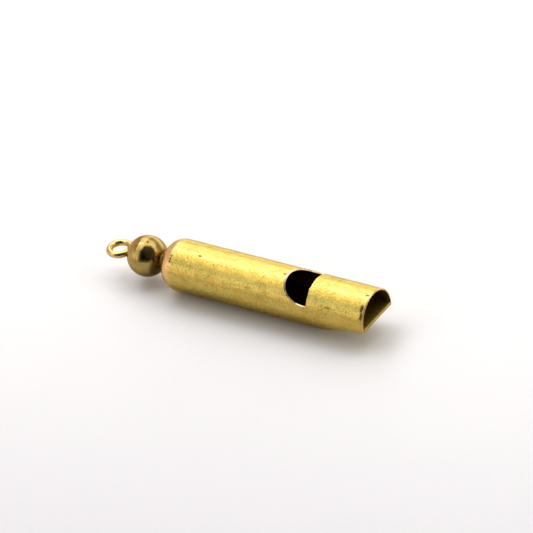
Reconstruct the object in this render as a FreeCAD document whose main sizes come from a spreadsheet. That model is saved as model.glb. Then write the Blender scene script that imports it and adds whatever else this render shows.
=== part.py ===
import FreeCAD, Part
import math
import os
import Sketcher
from FreeCAD import Placement, Rotation, Vector

# A brass pocket whistle: wire eye, hollow ball, plain tube with a rounded closed end, half-moon
# sound window, and a scooped beak closed by a plate. +X runs to the mouth, +Z is up, and the tube
# lies on z = 0 with the whole whistle centred on the origin. Sizes are millimetres and degrees.

SIZES = {
    "whole_length": 59.5,
    # drawn tube
    "tube_radius": 5.0,
    "tube_wall": 0.3,
    "tube_length": 46.0,
    "crown_radius": 10.0,
    "corner_radius": 3.2,
    "rim_bevel": 0.12,
    # sound window, filed straight across the tube and turned towards -Y
    "window_from_mouth": 12.27,
    "window_turn": 10.0,
    "file_radius": 6.27,
    "file_shift": 0.88,
    "file_height": 8.66,
    # scooped underside of the mouth and the plate that closes it
    "scoop_radius": 19.5,
    "scoop_drop": 20.35,
    "plate_wall": 0.65,
    "plate_length": 14.0,
    "solder_gap": 0.02,
    "solder_leg": 0.35,
    "solder_setback": 0.4,
    # block under the window's straight edge
    "block_length": 4.0,
    "block_setback": 0.15,
    "windway_floor": 3.7,
    # hollow ball
    "ball_radius": 3.94,
    "ball_wall": 0.5,
    "ball_gap": 0.67,
    "lip_length": 0.6,
    "lip_wall": 0.22,
    "eye_seat": 3.53,
    "eye_boss": 3.03,
    "seat_radius": 1.35,
    # stud between the ball and the tube
    "collar_radius": 1.6,
    "tenon_radius": 0.9,
    "head_radius": 1.4,
    "head_length": 0.45,
    # swivelling eye
    "wire_radius": 0.625,
    "loop_radius": 2.02,
    "swivel_gap": 0.05,
    "washer_gap": 0.06,
    "washer_radius": 1.3,
    "washer_wall": 0.35,
    "peen_radius": 0.95,
    "peen_length": 0.3,
}

os.makedirs("parts", exist_ok=True)
doc = FreeCAD.newDocument("pocket_whistle")


def make_sheet():
    sheet = doc.addObject("Spreadsheet::Sheet", "sizes")
    for row, (alias, number) in enumerate(SIZES.items(), start=1):
        sheet.set(f"A{row}", alias)
        sheet.set(f"B{row}", str(number))
        sheet.setAlias(f"B{row}", alias)
    doc.recompute()
    return sheet


sheet = make_sheet()

# Stations along X, as expressions on the sheet
MOUTH_X = "sizes.whole_length / 2"
CLOSED_X = "(sizes.whole_length / 2 - sizes.tube_length)"
WINDOW_X = "(sizes.whole_length / 2 - sizes.window_from_mouth)"
BLOCK_X = f"({WINDOW_X} + sizes.block_setback)"
BALL_X = f"({CLOSED_X} - sizes.ball_gap - sizes.ball_radius)"
LOOP_X = "(-sizes.whole_length / 2 + sizes.loop_radius + sizes.wire_radius)"
BORE_RADIUS = "(sizes.tube_radius - sizes.tube_wall)"
FITTED_RADIUS = f"({BORE_RADIUS} - sizes.solder_gap)"


def number(expression):
    """The present value of an expression that is written on the sheet."""
    return float(sheet.evalExpression(expression))


def on_axis(obj, along_x="0"):
    """Turns a primitive's own Z to +X and puts it on the whistle's axis."""
    obj.Placement = Placement(Vector(0, 0, 0), Rotation(Vector(0, 1, 0), 90))
    obj.setExpression("Placement.Base.x", along_x)
    obj.setExpression("Placement.Base.z", "sizes.tube_radius")


def rod(name, radius, start, length):
    obj = doc.addObject("Part::Cylinder", name)
    obj.setExpression("Radius", radius)
    obj.setExpression("Height", length)
    on_axis(obj, start)
    return obj


def ball(name, radius, centre):
    obj = doc.addObject("Part::Sphere", name)
    obj.setExpression("Radius", radius)
    on_axis(obj, centre)
    return obj


def cross_drum(name, radius):
    """A drum lying across the tube, centred under the mouth's edge, that forms the scoop."""
    obj = doc.addObject("Part::Cylinder", name)
    obj.setExpression("Radius", radius)
    obj.setExpression("Height", "4 * sizes.tube_radius")
    obj.Placement = Placement(Vector(0, 0, 0), Rotation(Vector(1, 0, 0), 90))
    obj.setExpression("Placement.Base.x", MOUTH_X)
    obj.setExpression("Placement.Base.y", "2 * sizes.tube_radius")
    obj.setExpression("Placement.Base.z", "sizes.tube_radius - sizes.scoop_drop")
    return obj


def cut(name, base, tool):
    obj = doc.addObject("Part::Cut", name)
    obj.Base = base
    obj.Tool = tool
    return obj


def common(name, base, tool):
    obj = doc.addObject("Part::Common", name)
    obj.Base = base
    obj.Tool = tool
    return obj


def fuse(name, shapes):
    obj = doc.addObject("Part::MultiFuse", name)
    obj.Shapes = shapes
    obj.Refine = True
    return obj


def labelled(obj, label):
    obj.Label = label
    return obj


def new_body(label):
    body = doc.addObject("PartDesign::Body", label)
    body.Label = label
    body.setExpression("Placement.Base.z", "sizes.tube_radius")
    return body


# The points of a sketch's line or arc
START, END, CENTRE = 1, 2, 3


def sketch_on(body, role, name, offset=Placement()):
    plane = next(item for item in body.Origin.OriginFeatures if item.Role == role)
    sketch = body.newObject("Sketcher::SketchObject", name)
    sketch.AttachmentSupport = (plane, "")
    sketch.MapMode = "FlatFace"
    sketch.AttachmentOffset = offset
    return sketch


def bind(sketch, *arguments, to):
    """Adds a dimension to the sketch and ties it to an expression."""
    index = sketch.addConstraint(Sketcher.Constraint(*arguments, number(to)))
    sketch.setExpression(f"Constraints[{index}]", to)


def locate(sketch, geometry, point, x_to, y_to):
    """Ties one point of the sketch to a place measured from the sketch's origin."""
    bind(sketch, "DistanceX", -1, 1, geometry, point, to=x_to)
    bind(sketch, "DistanceY", -1, 1, geometry, point, to=y_to)


def join(sketch, kind, pairs):
    for (first, first_end), (second, second_end) in pairs:
        sketch.addConstraint(Sketcher.Constraint(kind, first, first_end, second, second_end))


def closed_polygon(sketch, corners):
    """A closed outline of straight lines whose corners are (x, y) expressions."""
    points = [Vector(number(x), number(y), 0) for x, y in corners]
    lines = [
        sketch.addGeometry(Part.LineSegment(point, points[(index + 1) % len(points)]), False)
        for index, point in enumerate(points)
    ]
    followers = lines[1:] + lines[:1]
    join(sketch, "Coincident", [((line, END), (follower, START)) for line, follower in zip(lines, followers)])
    for line, (x, y) in zip(lines, corners):
        locate(sketch, line, START, x, y)


def bored_circle(sketch, radius):
    circle = sketch.addGeometry(Part.Circle(Vector(0, 0, 0), Vector(0, 0, 1), number(radius)), False)
    sketch.addConstraint(Sketcher.Constraint("Coincident", circle, CENTRE, -1, 1))
    bind(sketch, "Radius", circle, to=radius)


def drawn_wall(sketch):
    """Half section of the tube: bevelled rim, straight wall, rounded corner and slightly domed end."""
    mouth, closed = number(MOUTH_X), number(CLOSED_X)
    wall, bevel = number("sizes.tube_wall"), number("sizes.rim_bevel")
    outer, hole = number("sizes.tube_radius"), number("sizes.tenon_radius + sizes.solder_gap")
    crown, corner = number("sizes.crown_radius"), number("sizes.corner_radius")
    crown_centre = Vector(closed + crown, 0, 0)
    rise = outer - corner
    run = math.sqrt((crown - corner) ** 2 - rise ** 2)
    corner_centre = crown_centre + Vector(-run, rise, 0)
    blend = math.atan2(rise, -run)
    normal = Vector(0, 0, 1)

    def arc(centre, radius, low, high):
        circle = Part.Circle(centre, normal, radius)
        return sketch.addGeometry(Part.ArcOfCircle(circle, low, high), False)

    def line(x0, y0, x1, y1):
        return sketch.addGeometry(Part.LineSegment(Vector(x0, y0, 0), Vector(x1, y1, 0)), False)

    def hole_angle(radius):
        return math.pi - math.asin(hole / radius)

    outer_line = line(mouth - bevel, outer, corner_centre.x, outer)
    outer_corner = arc(corner_centre, corner, math.pi / 2, blend)
    outer_crown = arc(crown_centre, crown, blend, hole_angle(crown))
    inner_line = line(mouth, outer - wall, corner_centre.x, outer - wall)
    inner_corner = arc(corner_centre, corner - wall, math.pi / 2, blend)
    inner_crown = arc(crown_centre, crown - wall, blend, hole_angle(crown - wall))
    hole_line = line(
        crown_centre.x + crown * math.cos(hole_angle(crown)),
        hole,
        crown_centre.x + (crown - wall) * math.cos(hole_angle(crown - wall)),
        hole,
    )
    rim_line = line(mouth, outer - wall, mouth, outer - bevel)
    bevel_line = line(mouth, outer - bevel, mouth - bevel, outer)

    join(sketch, "Tangent", [
        ((outer_line, END), (outer_corner, START)),
        ((outer_corner, END), (outer_crown, START)),
        ((inner_line, END), (inner_corner, START)),
        ((inner_corner, END), (inner_crown, START)),
    ])
    join(sketch, "Coincident", [
        ((outer_crown, END), (hole_line, START)),
        ((hole_line, END), (inner_crown, END)),
        ((inner_line, START), (rim_line, START)),
        ((rim_line, END), (bevel_line, START)),
        ((bevel_line, END), (outer_line, START)),
        ((inner_corner, CENTRE), (outer_corner, CENTRE)),
    ])
    for level in (outer_line, inner_line, hole_line):
        sketch.addConstraint(Sketcher.Constraint("Horizontal", level))
    bind(sketch, "Radius", outer_corner, to="sizes.corner_radius")
    bind(sketch, "Radius", outer_crown, to="sizes.crown_radius")
    bind(sketch, "Radius", inner_crown, to="sizes.crown_radius - sizes.tube_wall")
    locate(sketch, outer_crown, CENTRE, f"{CLOSED_X} + sizes.crown_radius", "0")
    locate(sketch, outer_line, START, f"{MOUTH_X} - sizes.rim_bevel", "sizes.tube_radius")
    locate(sketch, rim_line, START, MOUTH_X, BORE_RADIUS)
    locate(sketch, rim_line, END, MOUTH_X, "sizes.tube_radius - sizes.rim_bevel")
    bind(sketch, "DistanceY", -1, 1, hole_line, START, to="sizes.tenon_radius + sizes.solder_gap")


def file_outline(sketch):
    """The round file's track: a straight edge towards the mouth and an arc towards the closed end."""
    edge = number(WINDOW_X)
    centre = Vector(edge - number("sizes.file_shift"), number("sizes.file_height"), 0)
    radius = number("sizes.file_radius")
    last = math.acos((edge - centre.x) / radius)
    circle = Part.Circle(centre, Vector(0, 0, 1), radius)
    arc = sketch.addGeometry(Part.ArcOfCircle(circle, math.pi, 2 * math.pi - last), False)
    left, right = centre - Vector(radius, 0, 0), Vector(edge, centre.y, 0)
    low = Vector(edge, centre.y - radius * math.sin(last), 0)
    straight = sketch.addGeometry(Part.LineSegment(low, right), False)
    top = sketch.addGeometry(Part.LineSegment(right, left), False)
    join(sketch, "Coincident", [
        ((arc, END), (straight, START)),
        ((straight, END), (top, START)),
        ((top, END), (arc, START)),
    ])
    sketch.addConstraint(Sketcher.Constraint("Vertical", straight))
    bind(sketch, "Radius", arc, to="sizes.file_radius")
    locate(sketch, arc, CENTRE, f"{WINDOW_X} - sizes.file_shift", "sizes.file_height")
    locate(sketch, straight, END, WINDOW_X, "sizes.file_height")
    bind(sketch, "DistanceY", -1, 1, top, END, to="sizes.file_height")


def scoop_outline(sketch, radius):
    circle = sketch.addGeometry(Part.Circle(Vector(0, 0, 0), Vector(0, 0, 1), number(radius)), False)
    bind(sketch, "Radius", circle, to=radius)
    locate(sketch, circle, CENTRE, MOUTH_X, "-sizes.scoop_drop")


def pocket_through(body, sketch, name):
    pocket = body.newObject("PartDesign::Pocket", name)
    pocket.Profile = sketch
    pocket.Type = "ThroughAll"
    pocket.SideType = "Symmetric"
    return pocket


def turned(angle_axis):
    """An attachment offset that turns a sketch by the window's angle about its own x or its normal."""
    return Placement(Vector(0, 0, 0), Rotation(angle_axis, number("sizes.window_turn")))


def make_barrel():
    body = new_body("barrel")
    wall = sketch_on(body, "XZ_Plane", "drawn_wall")
    drawn_wall(wall)
    drawn = body.newObject("PartDesign::Revolution", "drawn_tube")
    drawn.Profile = wall
    drawn.ReferenceAxis = (wall, ["H_Axis"])
    window = sketch_on(body, "XZ_Plane", "window_track", turned(Vector(1, 0, 0)))
    file_outline(window)
    pocket_through(body, window, "sound_window")
    scoop = sketch_on(body, "XZ_Plane", "scoop_track")
    scoop_outline(scoop, "sizes.scoop_radius")
    pocket_through(body, scoop, "beak_scoop")
    return body


def make_fipple_block():
    body = new_body("fipple_block")
    start = Placement(Vector(0, 0, number(BLOCK_X)), Rotation())
    disc = sketch_on(body, "YZ_Plane", "block_disc", start)
    disc.setExpression("AttachmentOffset.Base.z", BLOCK_X)
    bored_circle(disc, FITTED_RADIUS)
    block = body.newObject("PartDesign::Pad", "block_round")
    block.Profile = disc
    block.setExpression("Length", "sizes.block_length")
    slot = sketch_on(body, "YZ_Plane", "windway_slot", turned(Vector(0, 0, 1)))
    closed_polygon(slot, [
        ("-sizes.tube_radius", "sizes.windway_floor"),
        ("sizes.tube_radius", "sizes.windway_floor"),
        ("sizes.tube_radius", "2 * sizes.tube_radius"),
        ("-sizes.tube_radius", "2 * sizes.tube_radius"),
    ])
    pocket_through(body, slot, "windway")
    seat = sketch_on(body, "XZ_Plane", "plate_seat")
    scoop_outline(seat, "sizes.scoop_radius + sizes.plate_wall + sizes.solder_gap")
    pocket_through(body, seat, "plate_clearance")
    return body


def make_beak_plate():
    upper = cross_drum("plate_upper_side", "sizes.scoop_radius + sizes.plate_wall")
    lower = cross_drum("plate_lower_side", "sizes.scoop_radius")
    band = cut("plate_band", upper, lower)
    fitted = rod("plate_in_bore", FITTED_RADIUS, f"{MOUTH_X} - sizes.plate_length", "sizes.plate_length")
    return labelled(common("plate_shape", band, fitted), "beak_plate")


def make_plate_solder():
    upper = cross_drum("solder_upper_side", "sizes.scoop_radius + sizes.plate_wall + sizes.solder_leg")
    lower = cross_drum("solder_lower_side", "sizes.scoop_radius + sizes.plate_wall")
    band = cut("solder_band", upper, lower)
    start = f"{BLOCK_X} + sizes.block_length"
    length = f"{MOUTH_X} - ({start}) - sizes.solder_setback"
    fitted = rod("solder_in_bore", FITTED_RADIUS, start, length)
    middle = rod("solder_middle", f"{FITTED_RADIUS} - sizes.solder_leg", start, length)
    rim = cut("solder_rim", fitted, middle)
    return labelled(common("solder_shape", band, rim), "plate_solder")


def make_ball_inner_half():
    shell = ball("inner_skin", "sizes.ball_radius", BALL_X)
    side = rod("inner_side", "2 * sizes.ball_radius", BALL_X, "2 * sizes.ball_radius")
    half = common("inner_dome", shell, side)
    lip = rod(
        "inner_lip",
        "sizes.ball_radius - sizes.ball_wall + sizes.lip_wall",
        f"{BALL_X} - sizes.lip_length",
        "2 * sizes.lip_length",
    )
    solid = fuse("inner_solid", [half, lip])
    cavity = ball("inner_cavity", "sizes.ball_radius - sizes.ball_wall", BALL_X)
    hollow = cut("inner_hollow", solid, cavity)
    hole = rod("inner_hole", "sizes.tenon_radius + sizes.solder_gap", BALL_X, "2 * sizes.ball_radius")
    return labelled(cut("inner_bored", hollow, hole), "ball_inner_half")


def make_ball_outer_half():
    shell = ball("outer_skin", "sizes.ball_radius", BALL_X)
    side = rod(
        "outer_side",
        "2 * sizes.ball_radius",
        f"{BALL_X} - 2 * sizes.ball_radius",
        "2 * sizes.ball_radius",
    )
    half = common("outer_dome", shell, side)
    round_cavity = ball("outer_cavity_round", "sizes.ball_radius - sizes.ball_wall", BALL_X)
    boss_limit = rod(
        "outer_boss_limit",
        "2 * sizes.ball_radius",
        f"{BALL_X} - sizes.eye_boss",
        "2 * sizes.ball_radius",
    )
    cavity = common("outer_cavity", round_cavity, boss_limit)
    lap = rod(
        "outer_lap",
        "sizes.ball_radius - sizes.ball_wall + sizes.lip_wall + sizes.solder_gap",
        f"{BALL_X} - sizes.lip_length - sizes.solder_gap",
        "2 * sizes.lip_length",
    )
    seat = rod(
        "outer_seat",
        "sizes.seat_radius",
        f"{BALL_X} - 2 * sizes.ball_radius",
        "2 * sizes.ball_radius - sizes.eye_seat",
    )
    hole = rod(
        "outer_hole",
        "sizes.wire_radius + sizes.swivel_gap",
        f"{BALL_X} - 2 * sizes.ball_radius",
        "2 * sizes.ball_radius",
    )
    openings = fuse("outer_openings", [cavity, lap, seat, hole])
    return labelled(cut("outer_bored", half, openings), "ball_outer_half")


def make_neck_stud():
    blank = rod(
        "collar_blank",
        "sizes.collar_radius",
        BALL_X,
        f"{CLOSED_X} - {BALL_X} + sizes.collar_radius",
    )
    ball_face = ball("collar_ball_face", "sizes.ball_radius", BALL_X)
    tube_face = ball("collar_tube_face", "sizes.crown_radius", f"{CLOSED_X} + sizes.crown_radius")
    collar = cut("collar_cupped", cut("collar_seated", blank, ball_face), tube_face)
    # each head bears on its rim, against the round inside of its wall
    in_ball = (
        f"{BALL_X} + sqrt((sizes.ball_radius - sizes.ball_wall)^2 - sizes.head_radius^2)"
        " - sizes.head_length - sizes.solder_gap"
    )
    in_tube = (
        f"{CLOSED_X} + sizes.crown_radius - sqrt((sizes.crown_radius - sizes.tube_wall)^2"
        " - sizes.head_radius^2) + sizes.solder_gap"
    )
    tenon = rod("stud_tenon", "sizes.tenon_radius", in_ball, f"({in_tube}) - ({in_ball})")
    ball_head = rod("stud_ball_head", "sizes.head_radius", in_ball, "sizes.head_length")
    tube_head = rod("stud_tube_head", "sizes.head_radius", in_tube, "sizes.head_length")
    return labelled(fuse("stud_shape", [collar, tenon, ball_head, tube_head]), "neck_stud")


WASHER_X = f"({BALL_X} - sizes.eye_boss + sizes.washer_gap)"
PEEN_X = f"({WASHER_X} + sizes.washer_wall)"


def make_eye_loop():
    loop = doc.addObject("Part::Torus", "wire_loop")
    loop.setExpression("Radius1", "sizes.loop_radius")
    loop.setExpression("Radius2", "sizes.wire_radius")
    loop.setExpression("Placement.Base.x", LOOP_X)
    loop.setExpression("Placement.Base.z", "sizes.tube_radius")
    neck = f"{LOOP_X} + sizes.loop_radius"
    shank = rod("eye_shank", "sizes.wire_radius", neck, f"{PEEN_X} - ({neck})")
    peen = rod("eye_peen", "sizes.peen_radius", PEEN_X, "sizes.peen_length")
    return labelled(fuse("eye_shape", [loop, shank, peen]), "eye_loop")


def make_eye_washer():
    blank = rod("washer_blank", "sizes.washer_radius", WASHER_X, "sizes.washer_wall")
    hole = rod("washer_hole", "sizes.wire_radius", WASHER_X, "sizes.washer_wall")
    return labelled(cut("washer_shape", blank, hole), "eye_washer")


subparts = [
    make_barrel(),
    make_fipple_block(),
    make_beak_plate(),
    make_plate_solder(),
    make_ball_inner_half(),
    make_ball_outer_half(),
    make_neck_stud(),
    make_eye_loop(),
    make_eye_washer(),
]
doc.recompute()

for obj in doc.Objects:
    if "Invalid" in obj.State or "Error" in obj.State:
        raise RuntimeError(f"{obj.Name} failed: {obj.State}")
for subpart in subparts:
    if subpart.Shape.isNull() or not subpart.Shape.isValid():
        raise RuntimeError(f"{subpart.Label} has no valid shape")

for subpart in subparts:
    shape = subpart.Shape
    shape.exportStep(f"parts/{subpart.Label}.step")
    print(f"{subpart.Label:16s} {len(shape.Solids)} solid, {shape.Volume:9.3f} mm3, box {shape.BoundBox}")
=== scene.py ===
import math

import bmesh
import bpy
from mathutils import Matrix, Vector, noise


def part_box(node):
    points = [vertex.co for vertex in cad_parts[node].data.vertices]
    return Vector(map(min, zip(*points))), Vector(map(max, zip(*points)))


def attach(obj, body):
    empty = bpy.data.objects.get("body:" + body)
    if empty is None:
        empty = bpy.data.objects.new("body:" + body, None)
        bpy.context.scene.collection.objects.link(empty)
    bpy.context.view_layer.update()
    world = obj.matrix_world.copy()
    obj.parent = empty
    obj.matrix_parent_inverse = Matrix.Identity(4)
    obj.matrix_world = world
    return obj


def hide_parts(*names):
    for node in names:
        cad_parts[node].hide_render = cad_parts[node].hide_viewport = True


# A brass pocket whistle on a pale table. Metres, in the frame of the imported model: +X to the
# mouth, +Z up.

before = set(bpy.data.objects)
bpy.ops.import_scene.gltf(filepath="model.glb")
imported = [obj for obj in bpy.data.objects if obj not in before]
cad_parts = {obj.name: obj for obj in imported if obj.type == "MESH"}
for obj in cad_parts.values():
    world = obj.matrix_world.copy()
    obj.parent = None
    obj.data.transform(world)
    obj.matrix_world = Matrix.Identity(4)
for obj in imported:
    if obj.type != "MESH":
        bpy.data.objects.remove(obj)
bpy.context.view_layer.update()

MM = 0.001
TUBE_LOW, TUBE_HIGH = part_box("barrel")
AXIS_Z = (TUBE_LOW.z + TUBE_HIGH.z) / 2
TUBE_RADIUS = (TUBE_HIGH.z - TUBE_LOW.z) / 2
TUBE_WALL = 0.3 * MM
CROWN_RADIUS = 10.0 * MM
CORNER_RADIUS = 3.2 * MM
MOUTH_X = TUBE_HIGH.x
# the drawn end's apex lies just outside the stud's hole, so it is worked out from the crown
CLOSED_X = MOUTH_X - 46.0 * MM

# The view: the whistle is seen from the mouth's side, and lies rolled towards the camera
VIEW_AZIMUTH = math.radians(33.49)
VIEW_ELEVATION = math.radians(22.81)
WHISTLE_ROLL = math.radians(14.98)
CAMERA_DISTANCE = 1.0615
LOOK_AT = Vector((7.67, -1.51, 11.12)) * MM
FOCAL_LENGTH = 392.0
CLIP_NEAR, CLIP_FAR = 0.05, 20.0

# the room's soft lights: (azimuth, elevation, inner, outer angle) in degrees, and colour
LIGHT_LEVEL = 0.94
FAINT_LIGHT = (0.18, 0.17, 0.16)
LIGHTS = (
    ((-149, 11, 3, 18), (1.55, 1.50, 1.25)),
    ((-140, 37, 3, 18), (1.60, 1.57, 1.55)),
    ((-130, 49, 3, 18), (1.90, 1.95, 2.45)),
    ((-85, 59, 3, 18), (1.65, 1.75, 2.50)),
    ((-88, 58, 0, 8), (1.50, 1.70, 2.60)),
    ((-48, 46, 3, 18), (1.45, 1.45, 0.95)),
    ((-38, 34, 3, 14), (0.55, 0.50, 0.40)),
    ((-33, 20, 3, 18), (0.40, 0.60, 0.80)),
    ((-31, 4, 3, 18), (0.05, 0.15, 0.30)),
    ((0, 88, 15, 50), (2.65, 2.60, 2.50)),
    ((60, 40, 15, 50), (2.05, 2.00, 2.15)),
    ((120, 40, 15, 50), (0.28, 0.26, 0.20)),
    ((-60, 40, 15, 50), (0.10, 0.12, 0.25)),
    ((80, 10, 10, 42), (1.07, 1.02, 1.10)),
    ((130, 10, 10, 42), (0.40, 0.40, 0.36)),
    ((180, 10, 10, 42), (2.35, 2.30, 2.15)),
    ((-100, 12, 10, 42), (0.90, 0.60, 0.40)),
    ((-45, -6, 8, 34), (1.05, 0.90, 0.70)),
    ((-45, 10, 10, 42), (0.50, 0.45, 0.40)),
)
# the dark room behind the camera, in tangents of the angle off the camera's axis
DARK_LOW, DARK_HIGH = -0.5, 1.55
DARK_WIDE, DARK_NARROW = 1.2, 0.65
DARK_SHIFT = 0.1
DARK_EDGE = 0.12
DARK_LEVEL = 0.04
# how squarely a direction must face that way, as a cosine
FACING_LEAST, FACING_FULL = 0.05, 0.1

# the table, with painted shade that darkens it from the far side to the near side, and faint clouds
# in it
FLOOR_SIZE = 3.0
FLOOR_NEAR = (0.620, 0.612, 0.622, 1.0)
FLOOR_FAR = (0.812, 0.806, 0.785, 1.0)
FLOOR_ALONG = (-0.3, 1.0, 0.0)
FLOOR_REACH = (-0.095, 0.0)
FLOOR_CLOUDS = (60.0, 3.0)
FLOOR_CLOUD_LEVELS = (0.35, 0.7)
FLOOR_CLOUD_SHARE = 0.05
FLOOR_ROUGHNESS = 0.6

# noises in the brass: scale per millimetre, detail, roughness
HAIRLINES = (5.5, 3.0, 0.6)
SCRATCHES = (11.0, 2.0, 0.5)
CLOUDS = (0.45, 4.0, 0.6)
SPECKS = (2.6, 5.0, 0.75)
PITS = (3.6, 2.0, 0.6)
WARM_STREAKS = (0.5, 4.0, 0.65)
UNEVENNESS = (2.2, 4.0, 0.6)
# hairlines, scratches and warm streaks are drawn out along the tube
HAIRLINE_STRETCH = (0.06, 1.0, 1.0)
WARM_STRETCH = (0.25, 1.0, 1.0)
# the levels of its noise between which each one comes in
SCRATCH_LEVELS = (0.60, 0.68)
CLOUD_LEVELS = (0.35, 0.75)
SPECK_LEVELS = (0.46, 0.64)
PIT_LEVELS = (0.64, 0.73)
WARM_LEVELS = (0.45, 0.62)
# shares of tarnish, of painted shade on the underside, of warm colour and of dark in the colour
SPECK_STAIN, UNDER_SHADE, HAIRLINE_STAIN = 0.42, 0.55, 0.35
WARM_SHARE, PIT_DARK = 0.4, 0.3
# what each adds to the roughness
HAIRLINE_ROUGH, STAIN_ROUGH, DARK_ROUGH = 0.22, 0.10, 0.3
# what each adds to the bump, which is BUMP_DISTANCE high for 1
SCRATCH_HEIGHT, PIT_HEIGHT, UNEVEN_HEIGHT, HAIRLINE_HEIGHT = -0.35, -0.8, 0.9, 0.3
BUMP_STRENGTH, BUMP_DISTANCE = 0.65, 0.020 * MM
# where a patch's and a mark's edge starts and ends, as shares of its half sizes
PATCH_EDGE = (0.8, 1.08)
MARK_EDGE = (0.5, 1.2)

# colours of the metal
MARK_COLOUR = (0.06, 0.045, 0.015, 1.0)
# painted shade: the underside is darkened towards the tarnish colour; heights between which this
# grows, in millimetres
UNDER_FROM, UNDER_TO = 5.2, 2.5
EDGE_TINT = (0.90, 0.84, 0.66, 1.0)
WARM_BRASS = (0.58, 0.375, 0.075, 1.0)
TUBE_CLEAN = (0.565, 0.425, 0.105, 1.0)
TUBE_STAIN = (0.34, 0.235, 0.042, 1.0)
BALL_CLEAN = (0.38, 0.275, 0.088, 1.0)
BALL_STAIN = (0.20, 0.125, 0.03, 1.0)
WIRE_CLEAN = (0.62, 0.45, 0.17, 1.0)
WIRE_STAIN = (0.40, 0.25, 0.07, 1.0)
# painted shade: the neck stud is near black for the shaded gap between ball and tube
NECK_SHADE_COLOUR = (0.12, 0.075, 0.018, 1.0)
EDGE_CLEAN = (0.70, 0.53, 0.31, 1.0)
EDGE_STAIN = (0.28, 0.19, 0.07, 1.0)
PINK_BRASS = (0.70, 0.44, 0.20, 1.0)
# painted reflection: the dark brown of the shaded closed end as mirrored in the ball
SHADED_END_REFLECTION = (0.08, 0.045, 0.008, 1.0)
SOLDER_CLEAN = (0.36, 0.34, 0.29, 1.0)
SOLDER_STAIN = (0.2, 0.18, 0.14, 1.0)

# patches of other colour, in millimetres: centre, half sizes, depth of colour, colour
TUBE_PATCHES = (((-15.9, 0.0, 5.0), (4.2, 8.0, 8.0), 0.85, PINK_BRASS),)
# on the ball, a painted dark reflection of the shaded closed end, beside the neck
BALL_REFLECTION_PATCHES = (((-16.6, -0.8, 4.0), (2.8, 3.6, 3.6), 0.9, SHADED_END_REFLECTION),)
BALL_MARKS = (((-19.83, -0.49, 8.77), (0.3, 0.3, 0.3), 0.8),)

# dark marks on the tube, in millimetres: centre, half sizes, depth of colour
TUBE_MARKS = (
    ((-7.16, -1.69, 9.71), (0.45, 0.2, 0.2), 0.85),
    ((-12.86, -2.85, 9.11), (0.3, 0.22, 0.3), 0.7),
    ((-12.92, -3.30, 8.75), (0.22, 0.25, 0.3), 0.9),
    ((-12.90, -3.70, 8.38), (0.25, 0.3, 0.3), 0.8),
    ((11.13, -0.90, 9.92), (0.4, 0.3, 0.3), 0.5),
    ((29.10, -1.00, 9.90), (0.5, 0.25, 0.3), 0.75),
    ((29.15, -3.45, 8.60), (0.40, 0.9, 0.9), 0.9),
    ((29.30, -4.30, 7.50), (0.35, 0.7, 1.1), 0.9),
    ((22.03, -4.33, 7.51), (0.7, 0.3, 0.4), 0.45),
    ((26.11, -4.24, 7.65), (0.12, 0.4, 0.5), 0.5),
)

# wear: edges sharper than SHARP are rounded, and the long pieces are sliced along X
SHARP = math.radians(28)
WELD_DISTANCE = 1e-7
LONG_SLICES = (((1, 0, 0), 0.5 * MM),)
TUBE_EDGE, PLATE_EDGE, NECK_EDGE = 0.07 * MM, 0.05 * MM, 0.05 * MM
BALL_EDGE, EYE_EDGE = 0.02 * MM, 0.02 * MM
# shallow dents over the tube
DENT_SCALE, DENT_DEPTH = 0.22 / MM, 0.012 * MM
# a point belongs to a skin of the tube within this distance, and has no side this near the axis
SKIN_DISTANCE, AXIS_DISTANCE = 0.03 * MM, 0.2 * MM
# a face whose normal leans less than this to or from the axis is a cut wall or a rounded edge
EDGE_LEAN = 0.9
# a small burr on the sound window's straight edge
BURR_PLACE = Vector((17.48, -2.6, 9.27)) * MM
BURR_SIZE = 0.45 * MM
BURR_REACH = 0.2 * MM


# ---------------------------------------------------------------- camera, floor and light

def camera_axes():
    """Right, up and back vectors of the camera in the whistle's own frame."""
    a, e = VIEW_AZIMUTH, VIEW_ELEVATION
    back = Vector((math.sin(a) * math.cos(e), -math.cos(a) * math.cos(e), math.sin(e)))
    right = Vector((math.cos(a), math.sin(a), 0.0))
    unroll = Matrix.Rotation(-WHISTLE_ROLL, 3, "X")
    back, right = unroll @ back, unroll @ right
    return right, back.cross(right), back


def make_camera():
    right, up, back = camera_axes()
    data = bpy.data.cameras.new("camera")
    data.lens = FOCAL_LENGTH
    data.clip_start, data.clip_end = CLIP_NEAR, CLIP_FAR
    camera = bpy.data.objects.new("camera", data)
    bpy.context.scene.collection.objects.link(camera)
    turn = Matrix((right, up, back)).transposed().to_4x4()
    camera.matrix_world = Matrix.Translation(LOOK_AT + back * CAMERA_DISTANCE) @ turn
    bpy.context.scene.camera = camera


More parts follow.
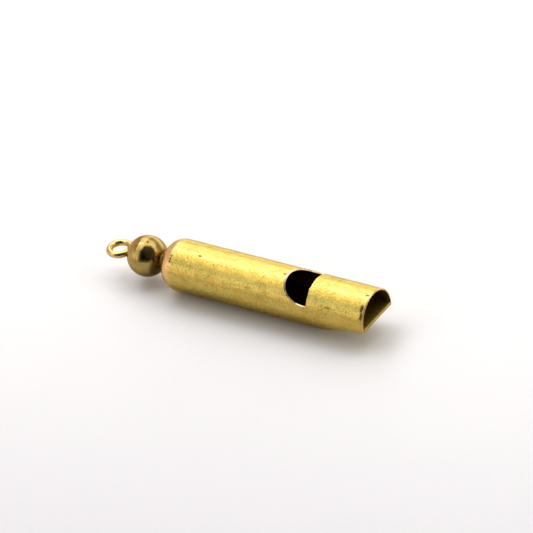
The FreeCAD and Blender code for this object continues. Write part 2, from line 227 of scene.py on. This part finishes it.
class Nodes:
    """Short-hand for building a node tree."""

    def __init__(self, tree):
        self.tree = tree
        tree.nodes.clear()

    def add(self, kind, *links, **settings):
        node = self.tree.nodes.new(kind)
        for key, value in settings.items():
            setattr(node, key, value)
        for index, link in enumerate(links):
            self.plug(node.inputs[index], link)
        return node

    def plug(self, socket, value):
        if value is None:
            return
        if isinstance(value, bpy.types.NodeSocket):
            self.tree.links.new(value, socket)
        else:
            socket.default_value = value

    def math(self, operation, a, b=None, clamp=False):
        node = self.add("ShaderNodeMath", a, b, operation=operation, use_clamp=clamp)
        return node.outputs[0]

    def vector(self, operation, a, b=None, scale=None):
        node = self.add("ShaderNodeVectorMath", a, b, operation=operation)
        if scale is not None:
            self.plug(node.inputs["Scale"], scale)
        single = operation in ("DOT_PRODUCT", "LENGTH", "DISTANCE")
        return node.outputs["Value" if single else "Vector"]

    def ramp(self, value, low, high, to_low=0.0, to_high=1.0):
        """Smooth step of a value from low to high."""
        node = self.add("ShaderNodeMapRange", interpolation_type="SMOOTHSTEP")
        self.plug(node.inputs["Value"], value)
        self.plug(node.inputs["From Min"], low)
        self.plug(node.inputs["From Max"], high)
        self.plug(node.inputs["To Min"], to_low)
        self.plug(node.inputs["To Max"], to_high)
        return node.outputs["Result"]

    def mix(self, factor, a, b, mode="MIX"):
        node = self.add("ShaderNodeMix", data_type="RGBA", blend_type=mode)
        self.plug(node.inputs["Factor"], factor)
        self.plug(node.inputs[6], a)
        self.plug(node.inputs[7], b)
        return node.outputs[2]

    def noise(self, place, scale, detail=2.0, roughness=0.5):
        node = self.add("ShaderNodeTexNoise")
        self.plug(node.inputs["Vector"], place)
        self.plug(node.inputs["Scale"], scale)
        self.plug(node.inputs["Detail"], detail)
        self.plug(node.inputs["Roughness"], roughness)
        return node.outputs["Fac"]


def direction(azimuth, elevation):
    """A direction in the room: azimuth 0 is the near side, positive towards the mouth."""
    a, e = math.radians(azimuth), math.radians(elevation)
    room = Vector((math.sin(a) * math.cos(e), -math.cos(a) * math.cos(e), math.sin(e)))
    return Matrix.Rotation(-WHISTLE_ROLL, 3, "X") @ room


def dark_share(n, way):
    """1 inside the dark trapezoid behind the camera and 0 outside it, with soft edges."""
    right, up, back = camera_axes()
    facing = n.vector("DOT_PRODUCT", way, back)
    ahead = n.math("MAXIMUM", facing, FACING_LEAST)
    across = n.math("DIVIDE", n.vector("DOT_PRODUCT", way, right), ahead)
    height = n.math("DIVIDE", n.vector("DOT_PRODUCT", way, up), ahead)
    half_width = n.ramp(height, DARK_LOW, DARK_HIGH, DARK_WIDE, DARK_NARROW)
    half_width.node.interpolation_type = "LINEAR"
    off_middle = n.math("ABSOLUTE", n.math("SUBTRACT", across, DARK_SHIFT))
    shape = n.ramp(n.math("SUBTRACT", half_width, off_middle), -DARK_EDGE, DARK_EDGE)
    above = n.ramp(height, DARK_LOW - DARK_EDGE, DARK_LOW + DARK_EDGE)
    below = n.ramp(height, DARK_HIGH + DARK_EDGE, DARK_HIGH - DARK_EDGE)
    shape = n.math("MULTIPLY", n.math("MULTIPLY", shape, above), below)
    return n.math("MULTIPLY", shape, n.ramp(facing, 0.0, FACING_FULL))


def make_room():
    """Soft lights of a pale room, summed, and dimmed in the dark part behind the camera."""
    world = bpy.data.worlds.new("room")
    bpy.context.scene.world = world
    world.use_nodes = True
    n = Nodes(world.node_tree)
    way = n.vector("NORMALIZE", n.add("ShaderNodeTexCoord").outputs["Generated"])

    def lobe(azimuth, elevation, inner, outer):
        """1 within the inner angle of a direction, 0 beyond the outer one."""
        cosine = n.vector("DOT_PRODUCT", way, direction(azimuth, elevation))
        return n.ramp(cosine, math.cos(math.radians(outer)), math.cos(math.radians(inner)))

    light = n.add("ShaderNodeCombineXYZ", *FAINT_LIGHT).outputs[0]
    for place, colour in LIGHTS:
        light = n.vector("ADD", light, n.vector("SCALE", colour, scale=lobe(*place)))
    light = n.vector("SCALE", light, scale=n.ramp(dark_share(n, way), 0.0, 1.0, 1.0, DARK_LEVEL))
    background = n.add("ShaderNodeBackground", light, LIGHT_LEVEL)
    n.add("ShaderNodeOutputWorld", background.outputs[0])


def make_floor():
    mesh = bpy.data.meshes.new("floor")
    half = FLOOR_SIZE / 2
    corners = [(-half, -half, 0), (half, -half, 0), (half, half, 0), (-half, half, 0)]
    mesh.from_pydata(corners, [], [(0, 1, 2, 3)])
    floor = bpy.data.objects.new("floor", mesh)
    bpy.context.scene.collection.objects.link(floor)
    material = bpy.data.materials.new("pale_table")
    material.use_nodes = True
    n = Nodes(material.node_tree)
    place = n.add("ShaderNodeTexCoord").outputs["Object"]
    # painted shade: the table's colour goes from FLOOR_FAR to the darker FLOOR_NEAR towards the
    # near side
    far = n.ramp(n.vector("DOT_PRODUCT", place, FLOOR_ALONG), *FLOOR_REACH)
    far.node.interpolation_type = "LINEAR"
    cloud = n.ramp(n.noise(place, *FLOOR_CLOUDS), *FLOOR_CLOUD_LEVELS)
    cloud = n.math("MULTIPLY", cloud, FLOOR_CLOUD_SHARE)
    colour = n.mix(cloud, n.mix(far, FLOOR_NEAR, FLOOR_FAR), FLOOR_NEAR)
    shader = n.add("ShaderNodeBsdfPrincipled")
    n.plug(shader.inputs["Base Color"], colour)
    shader.inputs["Roughness"].default_value = FLOOR_ROUGHNESS
    n.add("ShaderNodeOutputMaterial", shader.outputs[0])
    mesh.materials.append(material)


# ---------------------------------------------------------------- brass

def brass(
    name, clean, tarnish, roughness, grain=1.0, streaks=1.0, tarnish_share=0.5, marks=(), patches=()
):
    """Aged brass: cloudy and speckled tarnish, painted shade that darkens it towards the underside,
    warm streaks, fine pits, hairlines along the tube, patches of other colour (on the ball a
    painted dark reflection) and dark marks. Grain scales the specks, pits and unevenness, and
    streaks scales what runs along the tube."""
    material = bpy.data.materials.new(name)
    material.use_nodes = True
    n = Nodes(material.node_tree)
    place = n.vector("SCALE", n.add("ShaderNodeTexCoord").outputs["Object"], scale=1.0 / MM)
    along = n.vector("MULTIPLY", place, HAIRLINE_STRETCH)
    hairline = n.noise(along, *HAIRLINES)
    scratch = n.ramp(n.noise(along, *SCRATCHES), *SCRATCH_LEVELS)
    cloud = n.ramp(n.noise(place, *CLOUDS), *CLOUD_LEVELS)
    speck = n.ramp(n.noise(place, *SPECKS), *SPECK_LEVELS)
    pit = n.ramp(n.noise(place, *PITS), *PIT_LEVELS)
    warm = n.noise(n.vector("MULTIPLY", place, WARM_STRETCH), *WARM_STREAKS)
    warm = n.ramp(warm, *WARM_LEVELS, 0.0, WARM_SHARE)
    z = n.add("ShaderNodeSeparateXYZ", place).outputs["Z"]
    # painted shade: from UNDER_FROM down to UNDER_TO the metal is darkened more and more towards
    # its tarnish colour
    under_shade = n.ramp(z, UNDER_FROM, UNDER_TO, 0.0, UNDER_SHADE)

    tarnish_and_shade = n.math("MULTIPLY", speck, SPECK_STAIN * grain)
    tarnish_and_shade = n.math("ADD", tarnish_and_shade, n.math("MULTIPLY", cloud, tarnish_share))
    tarnish_and_shade = n.math("ADD", tarnish_and_shade, under_shade, clamp=True)
    colour = n.mix(tarnish_and_shade, clean, tarnish)
    colour = n.mix(n.math("MULTIPLY", hairline, HAIRLINE_STAIN * streaks), colour, tarnish)
    colour = n.mix(n.math("MULTIPLY", warm, streaks), colour, WARM_BRASS)

    def spot(centre, size, inner, outer, depth):
        """A soft-edged ellipsoid: its depth within the inner share of its size, and 0 beyond the
        outer share."""
        away = n.vector("DIVIDE", n.vector("SUBTRACT", place, centre), size)
        return n.ramp(n.vector("LENGTH", away), inner, outer, depth, 0.0)

    for centre, size, depth, patch_colour in patches:
        colour = n.mix(spot(centre, size, *PATCH_EDGE, depth), colour, patch_colour)
    dark = n.math("MULTIPLY", pit, PIT_DARK * grain)
    for centre, size, depth in marks:
        dark = n.math("MAXIMUM", dark, spot(centre, size, *MARK_EDGE, depth))
    colour = n.mix(dark, colour, MARK_COLOUR)

    # a hairline's noise has a mean of 0.5, so it makes the metal both rougher and smoother
    rough = n.math("MULTIPLY_ADD", n.math("SUBTRACT", hairline, 0.5), HAIRLINE_ROUGH * streaks)
    rough.node.inputs[2].default_value = roughness
    rough = n.math("ADD", rough, n.math("MULTIPLY", tarnish_and_shade, STAIN_ROUGH))
    rough = n.math("ADD", rough, n.math("MULTIPLY", dark, DARK_ROUGH), clamp=True)

    uneven = n.noise(place, *UNEVENNESS)
    height = n.math("MULTIPLY", scratch, SCRATCH_HEIGHT * streaks)
    height = n.math("ADD", height, n.math("MULTIPLY", pit, PIT_HEIGHT * grain))
    height = n.math("ADD", height, n.math("MULTIPLY", uneven, UNEVEN_HEIGHT * grain))
    height = n.math("ADD", height, n.math("MULTIPLY", hairline, HAIRLINE_HEIGHT * streaks))
    bump = n.add("ShaderNodeBump")
    bump.inputs["Strength"].default_value = BUMP_STRENGTH
    bump.inputs["Distance"].default_value = BUMP_DISTANCE
    n.plug(bump.inputs["Height"], height)

    shader = n.add("ShaderNodeBsdfPrincipled")
    shader.inputs["Metallic"].default_value = 1.0
    shader.inputs["Specular Tint"].default_value = EDGE_TINT
    n.plug(shader.inputs["Base Color"], colour)
    n.plug(shader.inputs["Roughness"], rough)
    n.plug(shader.inputs["Normal"], bump.outputs["Normal"])
    n.add("ShaderNodeOutputMaterial", shader.outputs[0])
    return material


# ---------------------------------------------------------------- pieces


def worn_copy(node, edge_round, slices=(), settle=None):
    """The node's shape with its edges rounded by wear, sliced finely and settled on its true
    surface. Each slicing is a direction and the thickness of its slices."""
    shape = bmesh.new()
    shape.from_mesh(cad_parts[node].data)
    bmesh.ops.remove_doubles(shape, verts=shape.verts, dist=WELD_DISTANCE)
    sharp = [e for e in shape.edges if len(e.link_faces) == 2 and e.calc_face_angle() > SHARP]
    bmesh.ops.bevel(
        shape, geom=sharp, offset=edge_round, offset_type="OFFSET", segments=3,
        profile=0.5, affect="EDGES", clamp_overlap=True,
    )
    low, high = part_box(node)
    for direction_of_cut, thickness in slices:
        normal = Vector(direction_of_cut)
        first, last = low.dot(normal), high.dot(normal)
        for index in range(1, int((last - first) / thickness)):
            everything = [*shape.verts, *shape.edges, *shape.faces]
            centre = normal * (first + index * thickness)
            bmesh.ops.bisect_plane(
                shape, geom=everything, plane_co=centre, plane_no=normal, dist=WELD_DISTANCE
            )
    bmesh.ops.triangulate(shape, faces=shape.faces)
    if settle:
        for vertex in shape.verts:
            vertex.co = settle(vertex.co)
    for face in shape.faces:
        face.smooth = True
    mesh = bpy.data.meshes.new(node + "_worn")
    shape.to_mesh(mesh)
    shape.free()
    piece = bpy.data.objects.new(node + "_worn", mesh)
    bpy.context.scene.collection.objects.link(piece)
    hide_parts(node)
    return piece


def finish_piece(piece, body, material):
    piece.data.materials.clear()
    piece.data.materials.append(material)
    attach(piece, body)


def settle_on_tube(point):
    """Moves a point of the barrel's skins from the facets to the true tube, corner and crown."""
    x, y, z = point.x, point.y, point.z - AXIS_Z
    radius = math.hypot(y, z)
    if radius < AXIS_DISTANCE:
        return point
    rise = TUBE_RADIUS - CORNER_RADIUS
    run = math.sqrt((CROWN_RADIUS - CORNER_RADIUS) ** 2 - rise ** 2)
    corner_x = CLOSED_X + CROWN_RADIUS - run
    if x >= corner_x:
        for skin in (TUBE_RADIUS, TUBE_RADIUS - TUBE_WALL):
            if abs(radius - skin) < SKIN_DISTANCE:
                scale = skin / radius
                return Vector((x, y * scale, z * scale + AXIS_Z))
        return point
    crown = Vector((CLOSED_X + CROWN_RADIUS, 0.0))
    corner = Vector((corner_x, rise))
    here = Vector((x, radius))
    on_crown = (here - crown).angle_signed(Vector((-1.0, 0.0)), 0.0)
    limit = math.atan2(rise, run)
    centre, full = (crown, CROWN_RADIUS) if abs(on_crown) < limit else (corner, CORNER_RADIUS)
    reach = (here - centre).length
    for skin in (full, full - TUBE_WALL):
        if abs(reach - skin) < SKIN_DISTANCE:
            here = centre + (here - centre) * (skin / reach)
            scale = here.y / radius
            return Vector((here.x, y * scale, z * scale + AXIS_Z))
    return point


def bare_edges(piece, edge, bore):
    """Adds a rubbed-bright material for the barrel's cut walls and rounded edges, and a dull one
    for its bore, as materials 1 and 2. The tube's own is 0, and the closed end keeps it."""
    piece.data.materials.append(edge)
    piece.data.materials.append(bore)
    for face in piece.data.polygons:
        across = Vector((0.0, face.center.y, face.center.z - AXIS_Z))
        lean = face.normal.dot(across.normalized())
        is_end = face.center.x < CLOSED_X + CROWN_RADIUS / 2
        if lean > EDGE_LEAN or is_end:
            face.material_index = 0
        else:
            face.material_index = 2 if lean < -EDGE_LEAN else 1


def make_barrel():
    def settle(point):
        settled = settle_on_tube(point)
        dent = abs(noise.noise(settled * DENT_SCALE)) * DENT_DEPTH
        away = Vector((0.0, settled.y, settled.z - AXIS_Z))
        near_burr = max(0.0, 1.0 - (settled - BURR_PLACE).length / BURR_SIZE)
        settled.x -= near_burr * BURR_REACH
        return settled - away.normalized() * dent if away.length > MM else settled

    piece = worn_copy("barrel", TUBE_EDGE, LONG_SLICES, settle)
    material = brass(
        "aged_tube", TUBE_CLEAN, TUBE_STAIN, roughness=0.21, grain=1.7,
        marks=TUBE_MARKS, patches=TUBE_PATCHES,
    )
    finish_piece(piece, "whistle", material)
    edge = brass(
        "bare_rim", EDGE_CLEAN, EDGE_STAIN, roughness=0.3, grain=0.8, streaks=0.2, tarnish_share=0.7
    )
    bore = brass("dull_bore", TUBE_STAIN, MARK_COLOUR, roughness=0.45)
    bare_edges(piece, edge, bore)


def make_beak_plate():
    piece = worn_copy("beak_plate", PLATE_EDGE, LONG_SLICES)
    material = brass("rubbed_plate", TUBE_CLEAN, TUBE_STAIN, roughness=0.45)
    finish_piece(piece, "whistle", material)


def make_ball():
    material = brass(
        "burnished_ball", BALL_CLEAN, BALL_STAIN, roughness=0.12, grain=0.6, streaks=0.3,
        marks=BALL_MARKS, patches=BALL_REFLECTION_PATCHES,
    )
    for node in ("ball_inner_half", "ball_outer_half"):
        piece = worn_copy(node, BALL_EDGE)
        finish_piece(piece, "whistle", material)


def make_eye():
    material = brass("worn_wire", WIRE_CLEAN, WIRE_STAIN, roughness=0.2, grain=0.7, streaks=0.3)
    piece = worn_copy("eye_loop", EYE_EDGE)
    finish_piece(piece, "eye", material)


def make_neck():
    # painted shade: the neck is coloured near black, as the gap between ball and tube is in shade
    material = brass("turned_neck", NECK_SHADE_COLOUR, MARK_COLOUR, roughness=0.35, streaks=0.1)
    piece = worn_copy("neck_stud", NECK_EDGE)
    finish_piece(piece, "whistle", material)


def dress_inner_pieces():
    """The pieces that stay as the frame has them, with materials of their own."""
    turned = brass("turned_inside", TUBE_STAIN, MARK_COLOUR, roughness=0.4)
    solder = brass("dull_solder", SOLDER_CLEAN, SOLDER_STAIN, roughness=0.5)
    dressed = (("fipple_block", turned), ("eye_washer", turned), ("plate_solder", solder))
    for node, material in dressed:
        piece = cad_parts[node]
        for index in range(len(piece.material_slots)):
            piece.material_slots[index].material = material


make_camera()
make_room()
make_floor()
make_barrel()
make_beak_plate()
make_ball()
make_eye()
make_neck()
dress_inner_pieces()
bpy.context.scene.view_settings.view_transform = "Standard"
